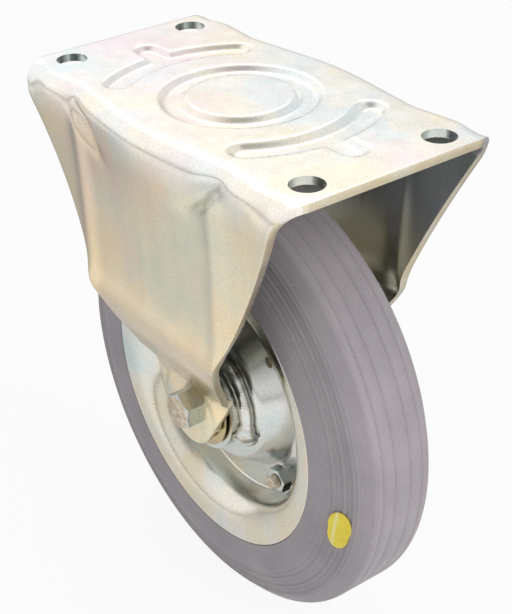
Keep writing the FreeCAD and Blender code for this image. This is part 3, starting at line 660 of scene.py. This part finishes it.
def leg_reach(x, drop):
    """How far a leg's outer face lies from the wheel's middle plane, at a drop below the plate."""
    along = abs(x)
    crown = CROWN_LIFT * bell(along, CROWN_WIDTH) * bell(drop, CROWN_HEIGHT)
    slide = VALLEY_PLACE - VALLEY_LEAN * max(drop - VALLEY_LEAN_DROP, 0.0)
    depth = VALLEY_DEPTH * (VALLEY_START + (1.0 - VALLEY_START) * risen(drop, *VALLEY_RISE))
    valley = depth * bell(along - slide, VALLEY_WIDTH) * (1.0 - risen(drop, *VALLEY_FADE))
    ridge = RIDGE_LIFT * bell(along - RIDGE_PLACE, RIDGE_WIDTH) * risen(drop, *RIDGE_RISE)
    turn = max(WING_TURN - WING_TURN_LOSS * drop, WING_TURN_END)
    wing = turn * past(along - WING_PLACE, WING_CORNER)
    span = LUG_TOP_DROP - SHOULDER_DROP
    inward = (LEG_SPREAD - LUG_SPREAD - SEAT_STEP) * risen(drop, SHOULDER_DROP, span)
    hem = HEM_LIFT * bell(drop - HEM_DROP, HEM_WIDTH)
    level = 1.0 - risen(drop, SHOULDER_DROP, LEVEL_SHARE * span)
    from_axle = math.hypot(x, drop - AXLE_DROP)
    seat = SEAT_STEP * (1.0 - risen(from_axle, SEAT_RADIUS, SEAT_EDGE))
    facet = FACET_SLOPE * past(along - FACET_PLACE, FACET_CORNER) * risen(drop, *FACET_RISE)
    return LEG_SPREAD - inward + (crown - valley + ridge + wing + hem) * level - seat - facet


def half_width(drop):
    """Half the length of the sheet along X, at a drop below the plate's top."""
    corner = HALF_LENGTH - CORNER_INSET
    lean = (corner - TIP_PLACE) / (TIP_DROP - CORNER_DROP)
    if drop < CORNER_DROP:
        return HALF_LENGTH - CORNER_INSET * (drop / CORNER_DROP) ** CORNER_CURVE
    if drop < TIP_DROP:
        return corner - lean * (drop - CORNER_DROP)
    rise = AXLE_DROP - TIP_DROP
    turn = math.atan2(rise, TIP_PLACE) - math.acos(LUG_RADIUS / math.hypot(TIP_PLACE, rise))
    touch = (LUG_RADIUS * math.cos(turn), AXLE_DROP - LUG_RADIUS * math.sin(turn))
    if drop < touch[1]:
        return TIP_PLACE + (touch[0] - TIP_PLACE) * (drop - TIP_DROP) / (touch[1] - TIP_DROP)
    return math.sqrt(max(LUG_RADIUS ** 2 - (drop - AXLE_DROP) ** 2, 0.0))


def pressed_depth(x, y):
    """Depth of the ring, the arcs and their nubs below the plate's top."""
    radius = math.hypot(x, y)
    ring = max(RING_INNER - radius, radius - RING_OUTER)
    if abs(math.atan2(y, abs(x))) < ARC_LIMIT:
        arc = abs(radius - ARC_RADIUS) - ARC_HALF
    else:
        end_x = ARC_RADIUS * math.cos(ARC_LIMIT)
        end_y = math.copysign(ARC_RADIUS * math.sin(ARC_LIMIT), y)
        arc = math.hypot(abs(x) - end_x, y - end_y) - ARC_HALF
    if abs(x) < NUB_END:
        nub = max(abs(y) - NUB_HALF, ARC_RADIUS - abs(x))
    else:
        nub = math.hypot(abs(x) - NUB_END, y) - NUB_HALF
    meeting = max(MEETING - abs(arc - nub), 0.0)
    outside = min(ring, min(arc, nub) - meeting * meeting / (4.0 * MEETING))
    return PRESS_DEPTH * eased(-outside / PRESS_SLOPE)


def sheet_rows():
    """Stations from the middle of the plate to the lug's end: (where, how far) pairs."""
    flat = [("flat", row / FLAT_ROWS) for row in range(FLAT_ROWS + 1)]
    bend = [("bend", row / BEND_ROWS) for row in range(1, BEND_ROWS)]
    leg = []
    drop = BEND
    end = AXLE_DROP + LUG_RADIUS
    while end - drop > LAST_STEP:
        leg.append(("leg", drop))
        step = next(step for limit, step in LEG_STEPS if drop < limit)
        drop += min(step, max(LEAST_STEP, STEP_SHARE * (end - drop)))
    return flat + bend + leg + [("leg", end)]


def sheet_point(share, row):
    """A point of the sheet's outer face; share runs from -1 to 1 across the sheet. The bend is
    wider at the plate's corners."""
    where, value = row
    x = share * HALF_LENGTH
    bend = BEND + CORNER_BEND * risen(abs(x), CORNER_BEND_START, CORNER_BEND_RISE)
    if where == "flat":
        y = value * (leg_reach(x, 0.0) - bend)
        return Vector((x, y, -pressed_depth(x, y)))
    drop = BEND * (1.0 - math.cos(math.radians(90.0 * value))) if where == "bend" else value
    x = share * half_width(drop)
    back = bend - math.sqrt(bend ** 2 - (bend - drop) ** 2) if drop < bend else 0.0
    return Vector((x, leg_reach(x, drop) - back, -drop))


def on_plate(y, z):
    return abs(y) < PRESS_REACH and z > -3.0


def sheet_face():
    """The sheet's outer face, on a grid that is finer where the pressed marks slope. Its free
    edges are marked for the bevel."""
    rows = sheet_rows()
    rows = [(-1, row) for row in reversed(rows[1:])] + [(1, row) for row in rows]
    pick_none()
    bpy.ops.mesh.primitive_grid_add(
        x_subdivisions=COLUMNS, y_subdivisions=len(rows) - 1, size=2.0)
    obj = bpy.context.object
    for vertex in obj.data.vertices:
        side, row = rows[round((vertex.co.y + 1.0) / 2.0 * (len(rows) - 1))]
        point = sheet_point(vertex.co.x, row)
        vertex.co = Vector((point.x, side * point.y, point.z)) * MM
    bpy.ops.object.mode_set(mode="EDIT")
    bpy.ops.mesh.select_all(action="SELECT")
    bpy.ops.mesh.remove_doubles(threshold=0.01 * MM)
    bpy.ops.mesh.select_mode(type="FACE")
    mesh = bmesh.from_edit_mesh(obj.data)
    for face in mesh.faces:
        middle = face.calc_center_median() / MM
        depth = pressed_depth(middle.x, middle.y)
        sloping = PRESS_MARGIN < depth < PRESS_DEPTH - PRESS_MARGIN
        face.select_set(sloping and on_plate(middle.y, middle.z))
    bmesh.update_edit_mesh(obj.data)
    bpy.ops.mesh.subdivide(number_cuts=1)
    bpy.ops.mesh.select_mode(type="VERT")
    mesh = bmesh.from_edit_mesh(obj.data)
    for vertex in mesh.verts:
        x, y, z = (value / MM for value in vertex.co)
        if on_plate(y, z):
            vertex.co.z = -pressed_depth(x, y) * MM
    free_edge = mesh.edges.layers.float.new("bevel_weight_edge")
    for line in mesh.edges:
        line[free_edge] = 1.0 if line.is_boundary else 0.0
    bmesh.update_edit_mesh(obj.data)
    bpy.ops.object.mode_set(mode="OBJECT")
    return obj


def hole_wall(middle, normal):
    """Whether a face belongs to the wall of a hole in the plate."""
    reach = min(math.hypot(middle.x - x * MM, middle.y - y * MM) for x, y in HOLE_PLACES)
    return abs(normal.z) < 0.3 and reach < (HOLE_RADIUS + 0.4) * MM


def painted_shade_face(middle, normal):
    """Whether a face is on the inside of a leg, or belongs to the wall of a hole in the plate;
    these faces get the darker painted shade.
    """
    inside = middle.z < -8.0 * MM and middle.y * normal.y < 0.0 and abs(normal.y) > 0.35
    return inside or middle.z > -6.0 * MM and hole_wall(middle, normal)


def cut_face(middle, normal):
    """Whether a face is on the sheet's cut edge at the front or the rear."""
    return abs(normal.x) > 0.8 and abs(normal.y) < 0.3 and not hole_wall(middle, normal)


def fork_bracket():
    obj = sheet_face()
    wall = obj.modifiers.new("wall", "SOLIDIFY")
    wall.thickness = SHEET * MM
    wall.offset = -1.0
    wall.use_even_offset = False
    edge = obj.modifiers.new("edge", "BEVEL")
    edge.width = EDGE_ROUNDING * MM
    edge.segments = 2
    edge.limit_method = "WEIGHT"
    apply_modifiers(obj)
    cutters = [cylinder(HOLE_RADIUS, 20.0, place) for place in HOLE_PLACES]
    cutters.append(cylinder(AXLE_HOLE, 80.0, AXLE_CENTRE, "Y"))
    cut(obj, joined(cutters))
    finished(obj, "bracket_sheet", ZINC_SHEET, "bracket", ["fork_bracket"],
             40.0)
    # The legs' inner faces and the hole walls get the painted shade.
    second_finish(obj, ZINC_INSIDE_PAINTED_SHADE, painted_shade_face)
    second_finish(obj, ZINC_EDGE, cut_face)


fork_bracket()


# Wheel


def bolt_places():
    """The angle and the centre of each of the four bolts round the rim's web."""
    for number in range(4):
        angle = math.radians(45.0 + 90.0 * number)
        yield angle, (BOLT_CIRCLE * math.cos(angle), BOLT_CIRCLE * math.sin(angle) - AXLE_DROP)


def rim_half(side, word):
    """One pressed rim half: collar, cone, bolted web, steep wall and rolled flange."""
    web = RIM_WALL + RIM_GAP
    corners = [
        (COLLAR_BORE, COLLAR_END - RIM_WALL, 0.0), (35.75, COLLAR_END - RIM_WALL, 5.0),
        (46.75, RIM_GAP, 5.0), (66.0, RIM_GAP, 4.0), (70.0, 22.3, 17.5),
        (FLANGE_EDGE, FLANGE_FACE - RIM_WALL, 0.6), (FLANGE_EDGE, FLANGE_FACE, 0.7),
        (84.6, 26.6, 0.7), (67.3, 24.2, 20.0), (63.5, web, 1.5), (48.0, web, 2.5),
        (37.0, COLLAR_END, 7.5), (COLLAR_BORE, COLLAR_END, 0.0)]
    obj = turned([(point.x, side * point.y) for point in rounded(corners, 8)], 192)
    cut(obj, joined([cylinder(BOLT_HOLE, 30.0, centre, "Y", 32) for _, centre in bolt_places()]))
    finished(obj, "rim_disc_" + word, ZINC_RIM, "wheel", ["rim_" + word], 45.0)


def line_between(first, second, radius):
    """The place at a radius on the straight line between two (radius, place) points."""
    return first[1] + (second[1] - first[1]) * (radius - first[0]) / (second[0] - first[0])


def wall_place(radius):
    """Half the tyre's width at a radius on its wall or its shoulder."""
    points = [WALL_FOOT, BELLY, SHOULDER, (122.6, 18.6), (124.4, 16.4), (125.0, 14.0)]
    for first, second in zip(points[:-1], points[1:]):
        if radius <= second[0]:
            return line_between(first, second, radius)
    return points[-1][1]


def tyre():
    """The solid tyre: fine raised lines on its walls, soft shoulders, thin lines in the tread."""
    half = [(70.2, 22.1, 17.4), (86.1, 24.3, 0.0), (*WALL_FOOT, 0.4), (*BELLY, 19.0)]
    for radius, rise in WALL_LINES:
        place = line_between(BELLY, SHOULDER, radius)
        for aside, lift in ((-0.8, 0.25), (-0.3, rise), (0.3, 0.8 * rise), (0.8, -0.25)):
            half.append((radius + aside, place + lift, 0.0))
    half += [(*SHOULDER, 10.0), (*TREAD_EDGE, 5.0)]
    tread = TREAD_EDGE[0]
    for place in TREAD_LINES:
        half += [(tread, place + LINE_HALF, 0.0), (tread - LINE_DEPTH, place, 0.0),
                 (tread, place - LINE_HALF, 0.0)]
    other = [(radius, -place, rounding) for radius, place, rounding in reversed(half)]
    obj = turned(rounded([(66.2, 0.0, 0.0)] + half + other, 6), 224)
    finished(obj, "tyre_body", RUBBER, "wheel", ["tyre"], 50.0)


def oval_reach(bearing, shift, wide, high):
    """How far an oval whose middle is shifted sideways reaches from nought, at a bearing."""
    ray = (math.cos(bearing), math.sin(bearing))
    first = (ray[0] / wide) ** 2 + (ray[1] / high) ** 2
    second = -2.0 * shift * ray[0] / wide ** 2
    third = (shift / wide) ** 2 - 1.0
    return (-second + math.sqrt(second ** 2 - 4.0 * first * third)) / (2.0 * first)


def tyre_label():
    """The bare oval label on the near wall, close to the shoulder: two ovals that overlap."""
    def place(across, along):
        tangent, radial = 2.0 * across - 1.0, 2.0 * along - 1.0
        bearing = math.atan2(radial, tangent)
        reach = max(oval_reach(bearing, *oval) for oval in LABEL_OVALS)
        reach *= max(abs(tangent), abs(radial))
        radius = LABEL_RADIUS + reach * math.sin(bearing)
        turn = LABEL_ANGLE + reach * math.cos(bearing) / LABEL_RADIUS
        return (radius * math.cos(turn), -wall_place(radius) - LABEL_LIFT,
                radius * math.sin(turn) - AXLE_DROP)
    obj = wrapped(40, 28, place)
    film = obj.modifiers.new("film", "SOLIDIFY")
    film.thickness = LABEL_FILM * MM
    film.offset = 0.0
    apply_modifiers(obj)
    finished(obj, "tyre_label", LABEL, "wheel", (), 50.0)


# Hub weld, fasteners and dust covers


def weld_bead():
    """The bead between the hub tube and the near collar, with its ripples and its end blob."""
    start, sweep = math.radians(-24.0), math.radians(154.0)
    thickness, ripples = 3.6, 62
    root_radius, root_side = 30.6, 22.4
    tube_radius, collar_side = 27.6, 20.05

    def place(across, along):
        angle = start + sweep * across
        section = 2.0 * math.pi * along
        from_end = min(across, 1.0 - across) * sweep * 32.0
        bulk = min(1.0, math.sqrt(max(from_end, 0.0) / 3.0))
        blob = 0.85 * bell(from_end - 4.5, 4.5) if across < 0.5 else 0.0
        blob *= (1.0 + 0.3 * math.sin(1.3 * from_end + 6.3 * along)
                 + 0.12 * math.sin(3.1 * from_end + 18.8 * along))
        wander = 1.7 * math.sin(23.0 * across)
        ripple = 1.0 + 0.004 * math.sin(2.0 * math.pi * ripples * across + wander)
        ripple += 0.05 * math.sin(31.0 * across) + 0.03 * math.sin(71.0 * across + 1.0)
        radius = thickness * bulk * (ripple + blob)
        out = max(root_radius + radius * math.cos(section) * 1.15, tube_radius)
        side = max(root_side + radius * math.sin(section), collar_side)
        return (out * math.cos(angle), -side, out * math.sin(angle) - AXLE_DROP)
    obj = wrapped(372, 20, place)
    finished(obj, "weld_bead", WELD_METAL, "wheel", ["hub_weld"], 60.0)


def rim_fasteners():
    """Four bolts with their heads on the far half and their threads and nuts on the near half."""
    bolts, nuts = [], []
    for angle, centre in bolt_places():
        bolts.append(hexagonal(RIM_FLATS, 2.6, 7.9, 0.0, centre, 1, (1,), angle))
        bolts.append(threaded(RIM_BOLT, RIM_PITCH, -2.4, 14.6, centre, -1))
        nuts.append(hexagonal(RIM_FLATS, 4.25, 10.75, 4.05, centre, -1, (1, -1), angle))
    finished(joined(bolts), "rim_bolt_set", HEAD_METAL, "wheel",
             ["rim_bolts"], 30.0)
    finished(joined(nuts), "rim_nut_set", ZINC_BOLT, "wheel",
             ["rim_nuts"], 30.0)


def axle_fasteners():
    """The axle bolt with its rough forged face, and the nut at its far end."""
    head_face = -45.0 * MM
    head = hexagonal(AXLE_FLATS, 38.5, 46.0, 0.0, AXLE_CENTRE, -1, (1,), math.radians(30.0))
    shank = lathed([(0.0, -38.6), (AXLE_BOLT, -38.6), (AXLE_BOLT, 38.0), (0.0, 38.0)],
                   AXLE_CENTRE, 1, 64)
    thread = threaded(AXLE_BOLT, AXLE_PITCH, 37.5, 55.0, AXLE_CENTRE, 1)
    bolt = finished(joined([head, shank, thread]), "axle_bolt_set", ZINC_BOLT, "bracket",
                    ["axle_bolt"], 30.0)
    second_finish(bolt, HEAD_METAL,
                  lambda middle, normal: normal.y < -0.9 and middle.y < head_face)
    nut = hexagonal(AXLE_FLATS, 41.0, 48.4, 6.05, AXLE_CENTRE, 1, (-1,), math.radians(8.0))
    crown = lathed([(6.05, 48.4), (8.2, 48.4), (8.2, 50.2), (7.6, 51.0), (7.25, 51.0),
                    (7.2, 49.0), (6.05, 49.0), (6.05, 48.4)], AXLE_CENTRE, 1, 64)
    finished(joined([nut, crown]), "axle_nut_set", ZINC_BOLT, "bracket",
             ["axle_nut"], 30.0)


def dust_cover(side, word):
    """A thin dished cover with two pressed steps, which closes the hub's end."""
    profile = [(10.1, 31.1), (15.0, 31.1), (15.8, 31.35), (20.2, 31.35), (21.0, 31.05),
               (24.0, 31.05), (24.45, 31.3), (24.45, 31.9), (24.0, 32.15), (21.2, 32.15),
               (20.4, 32.45), (15.6, 32.45), (14.8, 32.15), (10.1, 32.15)]
    obj = turned([(radius, side * place) for radius, place in profile], 128)
    finished(obj, "dust_cap_" + word, COVER_METAL, "bracket",
             ["dust_cover_" + word], 50.0)


rim_half(-1, "near")
rim_half(1, "far")
tyre()
tyre_label()
weld_bead()
rim_fasteners()
axle_fasteners()
dust_cover(-1, "near")
dust_cover(1, "far")


# Pieces that keep the solid's own shape
FINISHES = {
    "axle_washer": ZINC_BOLT, "nut_lock_ring": SEAL_RUBBER, "axle_sleeve": ZINC_BOLT,
    "distance_tube": ZINC_BOLT, "hub_tube": ZINC_RIM, "rim_washers": ZINC_BOLT}
PAIRED_FINISHES = {
    "inner_ring_": RACE_METAL, "outer_ring_": RACE_METAL, "balls_": RACE_METAL,
    "ball_cage_": COVER_METAL, "seals_": SEAL_RUBBER, "spacer_ring_": ZINC_BOLT,
    "end_collar_": COVER_METAL}
for end in ("near", "far"):
    for stem, material in PAIRED_FINISHES.items():
        FINISHES[stem + end] = material
for name, material in FINISHES.items():
    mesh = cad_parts[name].data
    mesh.materials.clear()
    mesh.materials.append(material)


# Floor, light and camera


WHITE = (1.0, 1.0, 1.0, 1.0)


def studio_floor():
    """A pale floor. In mirrors it is darker on one side, and has a dark card beside the part."""
    pick_none()
    bpy.ops.mesh.primitive_plane_add(size=6.0, location=(0.0, 0.0, -(AXLE_DROP + 125.3) * MM))
    floor = settled(bpy.context.object)
    floor.name = "studio_floor"
    material, tree, shader = new_material("studio_floor")
    shader.inputs["Base Color"].default_value = (0.90, 0.90, 0.90, 1.0)
    shader.inputs["Roughness"].default_value = 0.9
    camera_ray, mirrored = ray_kinds(tree)
    glowing = plus(tree, times(tree, camera_ray, 0.90), times(tree, mirrored, 0.80), clamp=True)
    place = object_coords(tree)
    side = ramp(tree, vector_maths(tree, "DOT_PRODUCT", place, (0.55, -0.83, 0.0)),
                -0.26, 0.20, 0.38, 1.30)
    far_off = ramp(tree, vector_maths(tree, "LENGTH", place), 0.7, 1.2)
    card = ramp(tree, vector_maths(tree, "DISTANCE", place, (-0.45, 0.16, 0.0)),
                0.16, 0.24, 0.05, 1.0)
    bright = times(tree, maths(tree, "MAXIMUM", side, far_off), card)
    strength = plus(tree, times(tree, mirrored, minus(tree, bright, 1.0)), 1.0)
    glow = node(tree, "ShaderNodeEmission", Color=WHITE, Strength=strength)
    blend = mix_shader(tree, glowing, shader, glow)
    tree.links.new(blend.outputs[0], tree.nodes["Material Output"].inputs["Surface"])
    floor.data.materials.append(material)


def studio_world():
    """A white surround. In mirrors it is dimmer overhead and near the horizon, and has a window."""
    world = bpy.data.worlds.new("studio")
    bpy.context.scene.world = world
    world.use_nodes = True
    tree = world.node_tree
    direction = tree.nodes.new("ShaderNodeTexCoord").outputs["Generated"]
    overhead = ramp(tree, vector_maths(tree, "DOT_PRODUCT", direction, (0.47, -0.31, 0.83)),
                    0.80, 0.97, 1.0, 0.40)
    horizon = ramp(tree, maths(tree, "ABSOLUTE", height_of(tree, direction)),
                   0.01, 0.09, 0.35, 1.0)
    window = ramp(tree, vector_maths(tree, "DOT_PRODUCT", direction, (-0.87, -0.20, 0.45)),
                  0.62, 0.86, 1.0, 1.26)
    strength = times(tree, times(tree, overhead, horizon), window)
    in_mirrors = node(tree, "ShaderNodeBackground", Color=WHITE, Strength=strength)
    seen = node(tree, "ShaderNodeBackground", Color=WHITE, Strength=1.0)
    soft = tree.nodes["Background"]
    soft.inputs["Color"].default_value = (0.98, 1.0, 1.0, 1.0)
    soft.inputs["Strength"].default_value = 0.62
    camera_ray, mirrored = ray_kinds(tree)
    light = mix_shader(tree, mirrored, soft, in_mirrors)
    blend = mix_shader(tree, camera_ray, light, seen)
    tree.links.new(blend.outputs[0], tree.nodes["World Output"].inputs["Surface"])


def studio_lamps():
    """Two area lamps that look at the bracket: name, place, width and power."""
    target = Vector((0.0, 0.0, -0.12))
    for name, place, width, power in (("key", (-0.75, 0.45, 1.05), 1.0, 2.4),
                                      ("side", (1.4, 0.25, 0.45), 0.8, 8.0)):
        data = bpy.data.lights.new("lamp_" + name, "AREA")
        data.size = width
        data.energy = power
        lamp = bpy.data.objects.new("lamp_" + name, data)
        bpy.context.scene.collection.objects.link(lamp)
        lamp.location = place
        lamp.rotation_euler = (target - Vector(place)).to_track_quat("-Z", "Y").to_euler()


def camera():
    """The photograph's view: where the camera stood, how it was turned and what it framed."""
    azimuth, elevation, roll = math.radians(57.07), math.radians(34.25), math.radians(-3.06)
    focal, centre = 1239.81, (184.58, 369.79)
    wide, high = 512.0, 614.0
    stand = Vector((450.92, -331.83, 390.35 - AXLE_DROP))
    back = Vector((math.sin(azimuth) * math.cos(elevation),
                   -math.cos(azimuth) * math.cos(elevation), math.sin(elevation)))
    level = Vector((math.cos(azimuth), math.sin(azimuth), 0.0))
    upright = back.cross(level)
    right = level * math.cos(roll) + upright * math.sin(roll)
    up = upright * math.cos(roll) - level * math.sin(roll)
    data = bpy.data.cameras.new("photo_camera")
    data.sensor_width = 36.0
    data.lens = focal / high * data.sensor_width
    data.shift_x = (wide / 2.0 - centre[0]) / high
    data.shift_y = (centre[1] - high / 2.0) / high
    data.clip_start = 0.01
    data.clip_end = 20.0
    obj = bpy.data.objects.new("photo_camera", data)
    bpy.context.scene.collection.objects.link(obj)
    pose = Matrix((right, up, back)).transposed().to_4x4()
    pose.translation = stand * MM
    obj.matrix_world = pose
    bpy.context.scene.camera = obj


studio_floor()
studio_world()
studio_lamps()
camera()
bpy.context.scene.view_settings.view_transform = "Standard"
